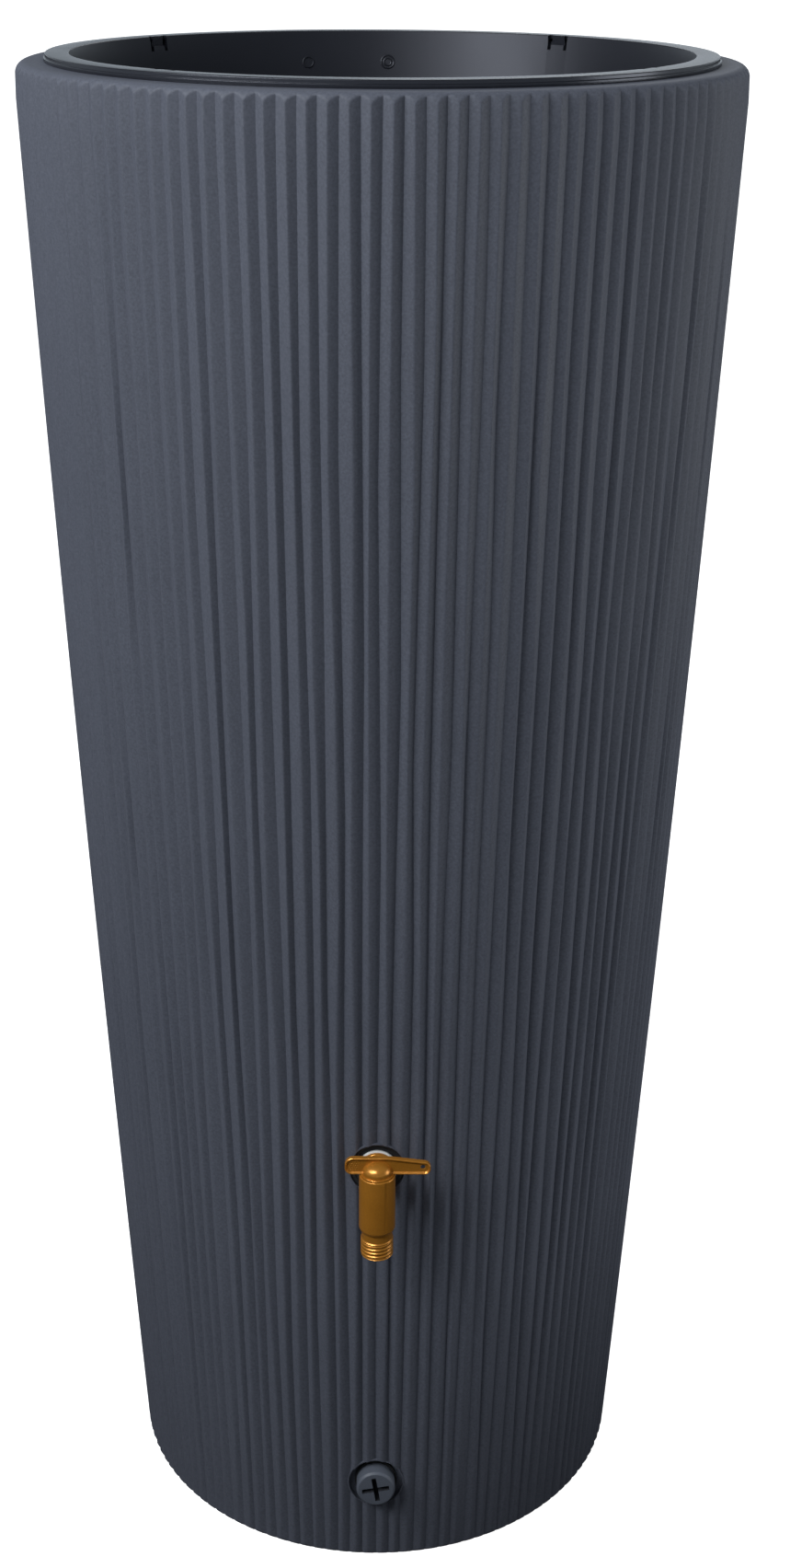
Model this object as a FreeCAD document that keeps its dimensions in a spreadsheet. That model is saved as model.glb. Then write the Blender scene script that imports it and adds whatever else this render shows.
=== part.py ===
"""Rain barrel: a tapered, fluted plastic tank with a planter bowl in its mouth, a tap and a drain plug.

Millimetres, +Z up, the origin in the middle of the floor face, the tap and the plug on the -Y side.
"""

import FreeCAD, Part

import math
import os

import Sketcher

from FreeCAD import Placement, Rotation, Vector

doc = FreeCAD.newDocument("rain_barrel")

# ---------------------------------------------------------------------------
# Driving dimensions
# ---------------------------------------------------------------------------

DIMENSIONS = {
    # tank, outside faces over the crests of its flutes
    "total_height": 1280.0,
    "base_radius": 218.3,
    "wall_top_radius": 300.4,
    "wall_top_height": 1244.0,
    "wall_bulge": 3.3,
    "base_edge_round": 4.0,
    "shoulder_round": 9.0,
    "land_height": 1273.5,
    "mouth_radius": 262.0,
    "lip_depth": 12.0,
    "wall_thickness": 7.6,
    "land_thickness": 4.5,
    "floor_thickness": 5.0,
    # flutes down the tank's side
    "flute_count": 122,
    "flute_depth": 3.8,
    "flute_share": 0.78,
    "flute_overrun": 1.0,
    # planter bowl
    "bowl_flange_radius": 277.5,
    "bowl_inner_radius": 257.0,
    "bowl_floor_radius": 232.0,
    "bowl_depth": 182.0,
    "bowl_thickness": 3.0,
    "bowl_floor_round": 16.0,
    "bowl_edge_round": 1.0,
    "latch_start_angle": 51.5,
    "latch_count": 4,
    "latch_slot_width": 3.4,
    "latch_slot_height": 9.0,
    "latch_slot_spacing": 17.2,
    "latch_slot_drop": 4.0,
    "weep_hole_count": 6,
    "weep_hole_radius": 4.0,
    "weep_ring_radius": 150.0,
    # tap: seat in the wall, fittings either side of it, barrel in front
    "tap_height": 396.0,
    "tap_seat": 240.6,
    "tap_seat_radius": 23.0,
    "tap_seat_plate": 5.0,
    "tap_boss_radius": 28.0,
    "tap_hole_radius": 13.6,
    "gasket_radius": 22.4,
    "gasket_thickness": 3.0,
    "spacer_radius": 16.2,
    "spacer_thickness": 2.5,
    "inner_gasket_radius": 20.0,
    "washer_bore_radius": 13.3,
    "nut_radius": 20.2,
    "nut_thickness": 9.0,
    "pipe_thread_radius": 13.1,
    "shank_reach": 27.0,
    "shank_bore_radius": 8.0,
    "tap_flange_radius": 15.0,
    "tap_flange_thickness": 3.0,
    "stub_radius": 10.5,
    "barrel_out": 285.0,
    "barrel_radius": 14.6,
    "barrel_top": 416.0,
    "barrel_foot": 367.5,
    "outlet_foot": 345.0,
    "outlet_thread_root": 12.0,
    "outlet_ring_count": 5,
    "outlet_ring_pitch": 3.0,
    "outlet_ring_width": 1.6,
    "outlet_bore_radius": 9.0,
    "barrel_bore_radius": 10.0,
    "rotor_seat": 370.0,
    # rotor, rings and handle
    "running_gap": 0.05,
    "rotor_top": 409.0,
    "rotor_bore_radius": 5.6,
    "port_radius": 5.0,
    "oring_section": 1.2,
    "lower_oring_height": 378.0,
    "upper_oring_height": 405.0,
    "stem_side": 8.0,
    "stem_top": 424.0,
    "clip_thickness": 1.2,
    "clip_bore_radius": 7.6,
    "clip_radius": 10.9,
    "clip_gap": 6.6,
    "dome_radius": 12.0,
    "dome_height": 427.3,
    "dome_skirt": 2.5,
    "handle_gap": 0.3,
    "wing_bottom": 416.6,
    "wing_top": 430.8,
    "wing_tip_top": 426.8,
    "wing_short": 26.0,
    "wing_long": 42.7,
    "wing_thickness": 4.4,
    "wing_web": 2.0,
    "wing_rib": 1.7,
    "wing_round": 5.0,
    "wing_hole_radius": 2.0,
    "wing_hole_inset": 6.2,
    "wing_hole_height": 422.6,
    # drain plug
    "drain_height": 78.0,
    "drain_seat": 216.2,
    "drain_seat_radius": 23.2,
    "drain_boss_radius": 25.0,
    "drain_boss_depth": 19.2,
    "insert_radius": 17.0,
    "insert_flange_radius": 21.0,
    "insert_flange_thickness": 3.5,
    "plug_head_radius": 16.5,
    "plug_head_thickness": 13.8,
    "plug_head_chamfer": 1.6,
    "plug_seal_thickness": 2.5,
    "plug_seal_radius": 18.0,
    "plug_shank_length": 16.0,
    "plug_shank_radius": 12.95,
    "plug_bore_radius": 9.0,
    "plug_slot_width": 3.5,
    "plug_slot_length": 22.0,
    "plug_slot_depth": 9.0,
    "plug_turned": 10.0,
}

sheet = doc.addObject("Spreadsheet::Sheet", "dims")
for row, (alias, number) in enumerate(DIMENSIONS.items(), start=1):
    sheet.set(f"A{row}", alias)
    sheet.set(f"B{row}", str(number))
    sheet.setAlias(f"B{row}", alias)
doc.recompute()


class Size:
    """A dimension as its present number and as the sheet formula that keeps an object bound to it."""

    def __init__(self, number, formula):
        self.number = number
        self.formula = formula

    def _with(self, other, number, sign):
        formula = other.formula if isinstance(other, Size) else str(other)
        return Size(number, f"({self.formula} {sign} {formula})")

    def __add__(self, other):
        return self._with(other, self.number + number_of(other), "+")

    def __sub__(self, other):
        return self._with(other, self.number - number_of(other), "-")

    def __mul__(self, other):
        return self._with(other, self.number * number_of(other), "*")

    def __truediv__(self, other):
        return self._with(other, self.number / number_of(other), "/")

    def __neg__(self):
        return Size(-self.number, f"(0 - {self.formula})")


def number_of(value):
    return value.number if isinstance(value, Size) else float(value)


def dim(alias):
    return Size(float(sheet.get(alias)), f"dims.{alias}")


def bind(item, **values):
    """Set each property of item to a Size by expression, or to a plain value."""
    for name, value in values.items():
        path = name.replace("_", ".") if name.startswith("Placement") else name
        if isinstance(value, Size):
            item.setExpression(path, value.formula)
        else:
            setattr(item, name, value)
    return item


NOTHING = Size(0.0, "0")

# ---------------------------------------------------------------------------
# Sketches and features
# ---------------------------------------------------------------------------

H_AXIS, V_AXIS, ROOT = -1, -2, (-1, 1)


def new_body(name):
    body = doc.addObject("PartDesign::Body", name)
    body.Label = name
    return body


def new_sketch(body, name, role, offset=None):
    """A sketch on one of the body's own origin planes, moved along that plane's normal by offset."""
    plane = next(item for item in body.Origin.OriginFeatures if item.Role == role)
    sketch = body.newObject("Sketcher::SketchObject", name)
    sketch.AttachmentSupport = [(plane, "")]
    sketch.MapMode = "FlatFace"
    if offset is not None:
        sketch.setExpression("AttachmentOffset.Base.z", offset.formula)
    return sketch


def hold(sketch, kind, where, value, first, second=None):
    """Add a dimension between two points, or a radius, and bind it to its Size."""
    ends = first if second is None else (*first, *second)
    index = sketch.addConstraint(Sketcher.Constraint(kind, *ends, abs(value.number)))
    label = f"{where}_{kind.lower()}"
    sketch.renameConstraint(index, label)
    signed = value if value.number >= 0 else -value
    sketch.setExpression(f"Constraints.{label}", signed.formula)


def pin_point(sketch, where, point, across, up):
    """Hold a point at (across, up) from the sketch's origin."""
    for kind, value, axis in (("DistanceX", across, V_AXIS), ("DistanceY", up, H_AXIS)):
        if value.number == 0:
            sketch.addConstraint(Sketcher.Constraint("PointOnObject", *point, axis))
        elif value.number > 0:
            hold(sketch, kind, where, value, ROOT, point)
        else:
            hold(sketch, kind, where, value, point, ROOT)


def arc_middle(start, end, radius):
    """The middle of an arc from start to end: to the right of the way it goes when radius is positive."""
    chord = end - start
    side = Vector(chord.y, -chord.x, 0).normalize()
    half = chord.Length / 2
    rise = abs(radius) - math.sqrt(max(radius * radius - half * half, 0.0))
    return (start + end) * 0.5 + side * math.copysign(rise, radius)


def draw_outline(sketch, corners):
    """A closed outline of corners (across, up). A third entry is the radius of an arc to the next corner."""
    points = [Vector(number_of(c[0]), number_of(c[1]), 0) for c in corners]
    edges = []
    for index, corner in enumerate(corners):
        start, end = points[index], points[(index + 1) % len(points)]
        if len(corner) == 3:
            curve = Part.Arc(start, arc_middle(start, end, corner[2].number), end)
        else:
            curve = Part.LineSegment(start, end)
        geometry = sketch.addGeometry(curve, False)
        forward = sketch.getPoint(geometry, 1).distanceToPoint(start) < 1e-6
        edges.append((geometry, 1, 2) if forward else (geometry, 2, 1))
    for index, corner in enumerate(corners):
        geometry, first, _ = edges[index]
        before, _, last = edges[index - 1]
        sketch.addConstraint(Sketcher.Constraint("Coincident", before, last, geometry, first))
        pin_point(sketch, f"corner{index}", (geometry, first), corner[0], corner[1])
        if len(corner) == 3:
            hold(sketch, "Radius", f"arc{index}", corner[2], (geometry,))


def draw_circle(sketch, radius, across=NOTHING, up=NOTHING, where="ring"):
    circle = Part.Circle(Vector(across.number, up.number, 0), Vector(0, 0, 1), radius.number)
    geometry = sketch.addGeometry(circle, False)
    pin_point(sketch, where, (geometry, 3), across, up)
    hold(sketch, "Radius", where, radius, (geometry,))


def draw_box(sketch, left, bottom, right, top):
    draw_outline(sketch, [(left, bottom), (right, bottom), (right, top), (left, top)])


def revolve(body, name, corners):
    """Turn an outline in the XZ plane all the way round Z."""
    sketch = new_sketch(body, f"{name}_outline", "XZ_Plane")
    draw_outline(sketch, corners)
    feature = body.newObject("PartDesign::Revolution", name)
    feature.Profile = sketch
    feature.ReferenceAxis = (sketch, ["V_Axis"])
    feature.Angle = 360.0
    doc.recompute()
    return feature


def pad(body, name, sketch, length, both_ways=False):
    feature = body.newObject("PartDesign::Pad", name)
    feature.Profile = sketch
    feature.setExpression("Length", length.formula)
    feature.SideType = "Symmetric" if both_ways else "One side"
    doc.recompute()
    return feature


def pocket(body, name, sketch, length, forward=True):
    """Cut length deep, along the sketch's normal when forward, and check that something was taken away."""
    before = body.Shape.Volume
    feature = body.newObject("PartDesign::Pocket", name)
    feature.Profile = sketch
    feature.setExpression("Length", length.formula)
    feature.Reversed = forward
    doc.recompute()
    if body.Shape.Volume >= before - 1e-3:
        raise ValueError(f"{name} cuts nothing")
    return feature


def repeat_round(body, name, feature, count):
    """Repeat a feature evenly round the body's Z axis."""
    axis = next(item for item in body.Origin.OriginFeatures if item.Role == "Z_Axis")
    pattern = body.newObject("PartDesign::PolarPattern", name)
    pattern.Originals = [feature]
    pattern.Axis = (axis, [""])
    pattern.Angle = 360.0
    pattern.setExpression("Occurrences", count.formula)
    body.Tip = pattern
    doc.recompute()
    return pattern


# ---------------------------------------------------------------------------
# Part primitives. A piece either stands along +Z, or faces out of the front wall along -Y.
# ---------------------------------------------------------------------------

FACING = Rotation(Vector(1, 0, 0), 90)


def place(item, out, height, facing):
    """Put a piece's start at out (distance in front of the tank's axis) and height."""
    if facing:
        item.Placement = Placement(Vector(0, 0, 0), FACING)
    bind(item, Placement_Base_y=-out, Placement_Base_z=height)


def cylinder(name, radius, length, out, height, facing=True):
    item = doc.addObject("Part::Cylinder", name)
    bind(item, Radius=radius, Height=length)
    place(item, out, height, facing)
    return item


def cut(name, base, *tools):
    """Take each tool away in turn, and make sure that each one took something."""
    for index, tool in enumerate(tools):
        last = index == len(tools) - 1
        item = doc.addObject("Part::Cut", name if last else f"{name}_less_{tool.Name}")
        item.Base, item.Tool = base, tool
        doc.recompute()
        if item.Shape.Volume >= base.Shape.Volume - 1e-3:
            raise ValueError(f"{tool.Name} cuts nothing from {name}")
        base = item
    base.Label = name
    return base


def fuse(name, *pieces):
    item = doc.addObject("Part::MultiFuse", name)
    item.Shapes = list(pieces)
    doc.recompute()
    return item


def washer(name, radius, bore, thickness, out, height, facing=True):
    """A flat ring whose back face is at out when it faces forward, or whose underside is at height."""
    disc = cylinder(f"{name}_disc", radius, thickness, out, height, facing)
    hole = cylinder(f"{name}_hole", bore, thickness, out, height, facing)
    return cut(name, disc, hole)


def oring(name, section, height):
    """A rubber ring that fills the barrel's bore, less the running gap, round the rotor."""
    item = doc.addObject("Part::Torus", name)
    middle = dim("barrel_bore_radius") - dim("running_gap") - section
    bind(item, Radius1=middle, Radius2=section)
    place(item, dim("barrel_out"), height, facing=False)
    item.Label = name
    doc.recompute()
    return item


nodes = []

# ---------------------------------------------------------------------------
# Tank
# ---------------------------------------------------------------------------


def wall_radius(height):
    """The wall's outside radius at a height: a straight taper with a slight bulge half-way up."""
    share = height / dim("wall_top_height")
    taper = dim("base_radius") + (dim("wall_top_radius") - dim("base_radius")) * share
    return taper + dim("wall_bulge") * share * (Size(1.0, "1") - share) * 4


def bulge_radius(chord_height, taper, bulge):
    """The radius of the arc that stands bulge proud of a chord."""
    half_squared = (chord_height * chord_height + taper * taper) / 4
    return (half_squared + bulge * bulge) / (bulge * 2)


def cut_flutes(body):
    """V-grooves from the floor to above the shoulder, whose rounding ends each one in a pointed arch."""
    overrun = dim("flute_overrun")
    depth = dim("flute_depth")
    top_height = dim("wall_top_height")
    stations = (
        ("foot", NOTHING, wall_radius(NOTHING)),
        ("middle", top_height / 2, wall_radius(top_height / 2)),
        ("top", top_height, dim("wall_top_radius")),
        ("head", dim("land_height"), dim("wall_top_radius")),
    )
    sections = []
    for name, height, radius in stations:
        half = radius * dim("flute_share") * math.pi / dim("flute_count")
        spread = half * (depth + overrun) / depth
        sketch = new_sketch(body, f"flute_{name}", "XY_Plane", height)
        draw_outline(
            sketch, [(NOTHING, radius - depth), (spread, radius + overrun), (-spread, radius + overrun)]
        )
        sections.append(sketch)
    flute = body.newObject("PartDesign::SubtractiveLoft", "flute")
    flute.Profile = sections[0]
    flute.Sections = sections[1:]
    flute.Ruled = True
    doc.recompute()
    return repeat_round(body, "flutes", flute, dim("flute_count"))


def build_tank():
    body = new_body("tank_shell")
    foot = dim("base_edge_round")
    wall = dim("wall_thickness")
    top_radius, top_height = dim("wall_top_radius"), dim("wall_top_height")
    shoulder = dim("shoulder_round")
    land, land_under = dim("land_height"), dim("land_height") - dim("land_thickness")
    mouth, lip = dim("mouth_radius"), dim("land_thickness")
    bow = bulge_radius(top_height - foot, top_radius - dim("base_radius"), dim("wall_bulge"))
    revolve(
        body,
        "tank_wall",
        [
            (NOTHING, NOTHING),
            (dim("base_radius") - foot, NOTHING, foot),
            (dim("base_radius"), foot, bow),
            (top_radius, top_height),
            (top_radius, land - shoulder, shoulder),
            (top_radius - shoulder, land),
            (mouth, land),
            (mouth, land - dim("lip_depth")),
            (mouth + lip, land - dim("lip_depth")),
            (mouth + lip, land_under),
            (top_radius - shoulder, land_under),
            (top_radius - wall, top_height, -bow),
            (dim("base_radius") - wall, dim("floor_thickness")),
            (NOTHING, dim("floor_thickness")),
        ],
    )

    cut_flutes(body)

    seats = (
        ("tap", dim("tap_seat"), dim("tap_height"), dim("tap_seat_plate"), dim("tap_hole_radius")),
        ("drain", dim("drain_seat"), dim("drain_height"), dim("drain_boss_depth"), dim("insert_radius")),
    )
    for name, seat, height, plate, hole in seats:
        back = new_sketch(body, f"{name}_boss_outline", "XZ_Plane", seat - plate)
        draw_circle(back, dim(f"{name}_boss_radius"), up=height)
        pad(body, f"{name}_boss", back, plate)
        front = new_sketch(body, f"{name}_seat_outline", "XZ_Plane", seat)
        draw_circle(front, dim(f"{name}_seat_radius"), up=height)
        pocket(body, f"{name}_seat", front, dim("tap_seat_radius"))
        through = new_sketch(body, f"{name}_hole_outline", "XZ_Plane", seat - plate)
        draw_circle(through, hole, up=height)
        pocket(body, f"{name}_hole", through, plate)
    return body


nodes.append(build_tank())

# ---------------------------------------------------------------------------
# Planter bowl
# ---------------------------------------------------------------------------


def build_bowl():
    body = new_body("planter_bowl")
    top, land = dim("total_height"), dim("land_height")
    thick, edge, sweep = dim("bowl_thickness"), dim("bowl_edge_round"), dim("bowl_floor_round")
    flange, inner = dim("bowl_flange_radius"), dim("bowl_inner_radius")
    floor, floor_radius = top - dim("bowl_depth"), dim("bowl_floor_radius")
    revolve(
        body,
        "bowl_wall",
        [
            (NOTHING, floor - thick),
            (floor_radius - sweep, floor - thick, sweep + thick),
            (floor_radius + thick, floor + sweep),
            (inner + thick, top - thick),
            (flange - thick, top - thick),
            (flange - thick, land),
            (flange, land),
            (flange, top - edge, edge),
            (flange - edge, top),
            (inner, top),
            (floor_radius, floor + sweep, -sweep),
            (floor_radius - sweep, floor),
            (NOTHING, floor),
        ],
    )

    slot_top = top - dim("latch_slot_drop")
    half_gap, width = dim("latch_slot_spacing") / 2, dim("latch_slot_width")
    for side, name in ((-1, "left"), (1, "right")):
        outline = new_sketch(body, f"{name}_slot_outline", "XZ_Plane", floor_radius)
        near, far = half_gap * side - width / 2, half_gap * side + width / 2
        draw_box(outline, near, slot_top - dim("latch_slot_height"), far, slot_top)
        slot = pocket(body, f"{name}_slot", outline, inner + thick + edge - floor_radius)
        repeat_round(body, f"{name}_slots", slot, dim("latch_count"))

    weep = new_sketch(body, "weep_outline", "XY_Plane", floor - thick)
    draw_circle(weep, dim("weep_hole_radius"), up=dim("weep_ring_radius"))
    hole = pocket(body, "weep_hole", weep, thick)
    repeat_round(body, "weep_holes", hole, dim("weep_hole_count"))
    body.Placement = Placement(Vector(0, 0, 0), Rotation(Vector(0, 0, 1), 0))
    bind(body, Placement_Rotation_Angle=dim("latch_start_angle"))
    return body


nodes.append(build_bowl())

# ---------------------------------------------------------------------------
# Tap: fixed pieces
# ---------------------------------------------------------------------------

tap_height = dim("tap_height")
barrel_out = dim("barrel_out")
inner_face = dim("tap_seat") - dim("tap_seat_plate")
gasket_front = dim("tap_seat") + dim("gasket_thickness")
spacer_front = gasket_front + dim("spacer_thickness")
flange_front = spacer_front + dim("tap_flange_thickness")
inner_gasket_back = inner_face - dim("gasket_thickness")
nut_back = inner_gasket_back - dim("nut_thickness")


def build_tap_body():
    thread = dim("pipe_thread_radius")
    shank_start = dim("tap_seat") - dim("shank_reach")
    shank = cylinder("tap_shank", thread, spacer_front - shank_start, shank_start, tap_height)
    flange = cylinder(
        "tap_flange", dim("tap_flange_radius"), flange_front - spacer_front, spacer_front, tap_height
    )
    stub = cylinder("tap_stub", dim("stub_radius"), barrel_out - spacer_front, spacer_front, tap_height)
    foot, top, outlet = dim("barrel_foot"), dim("barrel_top"), dim("outlet_foot")
    barrel = cylinder("tap_barrel", dim("barrel_radius"), top - foot, barrel_out, foot, facing=False)
    neck = cylinder(
        "outlet_neck", dim("outlet_thread_root"), foot - outlet, barrel_out, outlet, facing=False
    )
    pieces = [shank, flange, stub, barrel, neck]
    for index in range(int(DIMENSIONS["outlet_ring_count"])):
        height = outlet + dim("outlet_ring_pitch") * index
        width = dim("outlet_ring_width")
        pieces.append(cylinder(f"outlet_ring{index}", thread, width, barrel_out, height, facing=False))
    solid = fuse("tap_casting", *pieces)

    inlet_bore = cylinder(
        "inlet_bore", dim("shank_bore_radius"), barrel_out - shank_start, shank_start, tap_height
    )
    outlet_bore = cylinder(
        "outlet_bore", dim("outlet_bore_radius"), top - outlet, barrel_out, outlet, facing=False
    )
    seat = dim("rotor_seat")
    barrel_bore = cylinder(
        "barrel_bore", dim("barrel_bore_radius"), top - seat, barrel_out, seat, facing=False
    )
    clip_groove = cylinder(
        "clip_groove",
        dim("clip_radius") + dim("running_gap"),
        dim("clip_thickness") + dim("running_gap") * 2,
        barrel_out,
        dim("rotor_top") + dim("running_gap"),
        facing=False,
    )
    return cut("tap_body", solid, inlet_bore, outlet_bore, barrel_bore, clip_groove)


def build_lock_nut():
    prism = doc.addObject("Part::Prism", "nut_hexagon")
    prism.Polygon = 6
    bind(prism, Circumradius=dim("nut_radius"), Height=dim("nut_thickness"))
    place(prism, nut_back, tap_height, facing=True)
    bore = dim("pipe_thread_radius") + dim("running_gap")
    hole = cylinder("nut_bore", bore, dim("nut_thickness"), nut_back, tap_height)
    return cut("tap_lock_nut", prism, hole)


def build_retaining_ring():
    """A flat spring ring with a gap, so that it can be squeezed into its groove."""
    height = dim("rotor_top") + dim("running_gap") * 2
    ring = washer(
        "clip_ring", dim("clip_radius"), dim("clip_bore_radius"), dim("clip_thickness"),
        barrel_out, height, facing=False,
    )
    gap = doc.addObject("Part::Box", "clip_gap")
    side = dim("clip_gap")
    bind(gap, Length=side, Width=dim("clip_radius") * 2, Height=dim("clip_thickness"))
    bind(
        gap,
        Placement_Base_x=-side / 2,
        Placement_Base_y=-barrel_out,
        Placement_Base_z=height,
    )
    return cut("tap_retaining_ring", ring, gap)


nodes.append(build_tap_body())
nodes.append(
    washer(
        "tap_outer_gasket", dim("gasket_radius"), dim("washer_bore_radius"), dim("gasket_thickness"),
        dim("tap_seat"), tap_height,
    )
)
nodes.append(
    washer(
        "tap_spacer_washer", dim("spacer_radius"), dim("washer_bore_radius"), dim("spacer_thickness"),
        gasket_front, tap_height,
    )
)
nodes.append(
    washer(
        "tap_inner_gasket", dim("inner_gasket_radius"), dim("washer_bore_radius"),
        dim("gasket_thickness"), inner_gasket_back, tap_height,
    )
)
nodes.append(build_lock_nut())
nodes.append(build_retaining_ring())

# ---------------------------------------------------------------------------
# Tap: pieces that turn
# ---------------------------------------------------------------------------


def build_rotor():
    """The hollow plug. Closed, its port faces -X; a quarter turn brings it round to the inlet."""
    body = new_body("tap_plug")
    radius = dim("barrel_bore_radius") - dim("running_gap")
    bore, section = dim("rotor_bore_radius"), dim("oring_section")
    groove = radius - section * 2 - dim("running_gap")
    half = section + dim("running_gap")
    foot, top = dim("rotor_seat") + dim("running_gap"), dim("rotor_top")
    lower, upper = dim("lower_oring_height"), dim("upper_oring_height")
    roof = upper - section * 3
    revolve(
        body,
        "rotor_barrel",
        [
            (bore, foot),
            (radius, foot),
            (radius, lower - half),
            (groove, lower - half),
            (groove, lower + half),
            (radius, lower + half),
            (radius, upper - half),
            (groove, upper - half),
            (groove, upper + half),
            (radius, upper + half),
            (radius, top),
            (NOTHING, top),
            (NOTHING, roof),
            (bore, roof),
        ],
    )
    stem_outline = new_sketch(body, "stem_outline", "XY_Plane", top)
    side = dim("stem_side") / 2
    draw_box(stem_outline, -side, -side, side, side)
    pad(body, "stem", stem_outline, dim("stem_top") - top)
    port_outline = new_sketch(body, "port_outline", "YZ_Plane")
    draw_circle(port_outline, dim("port_radius"), up=tap_height)
    pocket(body, "port", port_outline, radius * 2, forward=False)
    bind(body, Placement_Base_y=-barrel_out)
    return body


def build_handle():
    """A domed hub on the rotor's stem, with a webbed and ribbed wing across it."""
    body = new_body("tap_handle")
    foot = dim("barrel_top") + dim("handle_gap")
    dome, top, skirt = dim("dome_radius"), dim("dome_height"), dim("dome_skirt")
    rise = top - foot - skirt
    crown = (rise * rise + dome * dome) / (rise * 2)
    revolve(
        body,
        "hub",
        [(NOTHING, foot), (dome, foot), (dome, foot + skirt, crown), (NOTHING, top)],
    )

    bottom, high, tip_high = dim("wing_bottom"), dim("wing_top"), dim("wing_tip_top")
    short, long, corner = dim("wing_short"), dim("wing_long"), dim("wing_round")

    def wing_outline(sketch, inset):
        """The wing's edge, taken in by inset all round."""
        left, right = inset - short, long - inset
        low, near, far = bottom + inset, high - inset, tip_high - inset
        bend = corner - inset
        draw_outline(
            sketch,
            [
                (left + bend, low),
                (right - bend, low, bend),
                (right, low + bend),
                (right, far - bend, bend),
                (right - bend, far),
                (dome, near),
                (left + bend, near, bend),
                (left, near - bend),
                (left, low + bend, bend),
            ],
        )

    edge = new_sketch(body, "wing_outline", "XZ_Plane")
    wing_outline(edge, NOTHING)
    pad(body, "wing", edge, dim("wing_thickness"), both_ways=True)
    half, web = dim("wing_thickness") / 2, dim("wing_web") / 2
    for side, name in ((1, "front"), (-1, "back")):
        face = new_sketch(body, f"{name}_web_outline", "XZ_Plane", half * side)
        wing_outline(face, dim("wing_rib"))
        pocket(body, f"{name}_web", face, half - web, forward=side < 0)

    hole_outline = new_sketch(body, "wing_hole_outline", "XZ_Plane", half)
    across, up = long - dim("wing_hole_inset"), dim("wing_hole_height")
    draw_circle(hole_outline, dim("wing_hole_radius"), across=across, up=up)
    pocket(body, "wing_hole", hole_outline, half * 2, forward=False)

    socket_outline = new_sketch(body, "socket_outline", "XY_Plane", foot)
    side = dim("stem_side") / 2 + dim("running_gap")
    draw_box(socket_outline, -side, -side, side, side)
    pocket(body, "socket", socket_outline, dim("stem_top") - foot + dim("handle_gap"))
    bind(body, Placement_Base_y=-barrel_out)
    return body


nodes.append(build_rotor())
nodes.append(oring("tap_lower_oring", dim("oring_section"), dim("lower_oring_height")))
nodes.append(oring("tap_upper_oring", dim("oring_section"), dim("upper_oring_height")))
nodes.append(build_handle())

# ---------------------------------------------------------------------------
# Drain plug
# ---------------------------------------------------------------------------

drain_height = dim("drain_height")
drain_seat = dim("drain_seat")
seal_front = drain_seat + dim("plug_seal_thickness")
boss_back = drain_seat - dim("drain_boss_depth")


def build_drain_insert():
    """A bush in the boss, with a flange against the boss's inner face."""
    gap = dim("running_gap")
    flange_back = boss_back - dim("insert_flange_thickness")
    sleeve = cylinder(
        "insert_sleeve", dim("insert_radius") - gap, drain_seat - boss_back, boss_back, drain_height
    )
    flange = cylinder(
        "insert_flange", dim("insert_flange_radius"), boss_back - flange_back, flange_back, drain_height
    )
    bore = cylinder(
        "insert_bore", dim("plug_shank_radius") + gap, drain_seat - flange_back, flange_back, drain_height
    )
    return cut("drain_insert", fuse("insert_blank", sleeve, flange), bore)


def build_drain_plug():
    """The head faces forward with its cross slot; the shank behind it is hollow."""
    body = new_body("drain_plug")
    head, shank = dim("plug_head_radius"), dim("plug_shank_radius")
    length, thick, chamfer = dim("plug_shank_length"), dim("plug_head_thickness"), dim("plug_head_chamfer")
    bore = dim("plug_bore_radius")
    revolve(
        body,
        "plug_turning",
        [
            (bore, NOTHING),
            (shank, NOTHING),
            (shank, length),
            (head, length),
            (head, length + thick - chamfer),
            (head - chamfer, length + thick),
            (NOTHING, length + thick),
            (NOTHING, length),
            (bore, length),
        ],
    )
    front = length + thick
    reach, half = dim("plug_slot_length") / 2, dim("plug_slot_width") / 2
    for name, wide, tall in (("level", reach, half), ("upright", half, reach)):
        outline = new_sketch(body, f"{name}_slot_outline", "XY_Plane", front)
        draw_box(outline, -wide, -tall, wide, tall)
        pocket(body, f"{name}_slot", outline, dim("plug_slot_depth"), forward=False)
    turned = Rotation(Vector(0, 0, 1), DIMENSIONS["plug_turned"])
    body.Placement = Placement(Vector(0, 0, 0), FACING.multiply(turned))
    bind(body, Placement_Base_y=-(seal_front - length), Placement_Base_z=drain_height)
    return body


nodes.append(build_drain_insert())
nodes.append(
    washer(
        "drain_plug_seal", dim("plug_seal_radius"), dim("plug_shank_radius") + dim("running_gap"),
        dim("plug_seal_thickness"), drain_seat, drain_height,
    )
)
nodes.append(build_drain_plug())

# ---------------------------------------------------------------------------
# Check and export
# ---------------------------------------------------------------------------

doc.recompute()
for item in doc.Objects:
    failed = {"Invalid", "Error"} & set(item.State)
    if failed:
        raise ValueError(f"{item.Name} is {failed}")

os.makedirs("parts", exist_ok=True)
for item in nodes:
    shape = item.Shape
    if shape.isNull() or not shape.isValid() or not shape.Solids:
        raise ValueError(f"{item.Label} has no valid solid")
    shape.exportStep(f"parts/{item.Label}.step")
    box = shape.BoundBox
    print(
        f"{item.Label}: {len(shape.Solids)} solid, {shape.Volume / 1000:.2f} cm3, "
        f"x {box.XMin:.1f} {box.XMax:.1f}, y {box.YMin:.1f} {box.YMax:.1f}, z {box.ZMin:.1f} {box.ZMax:.1f}"
    )
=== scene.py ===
import math

import bmesh
import bpy
import numpy as np
from mathutils import Matrix, Vector


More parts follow.
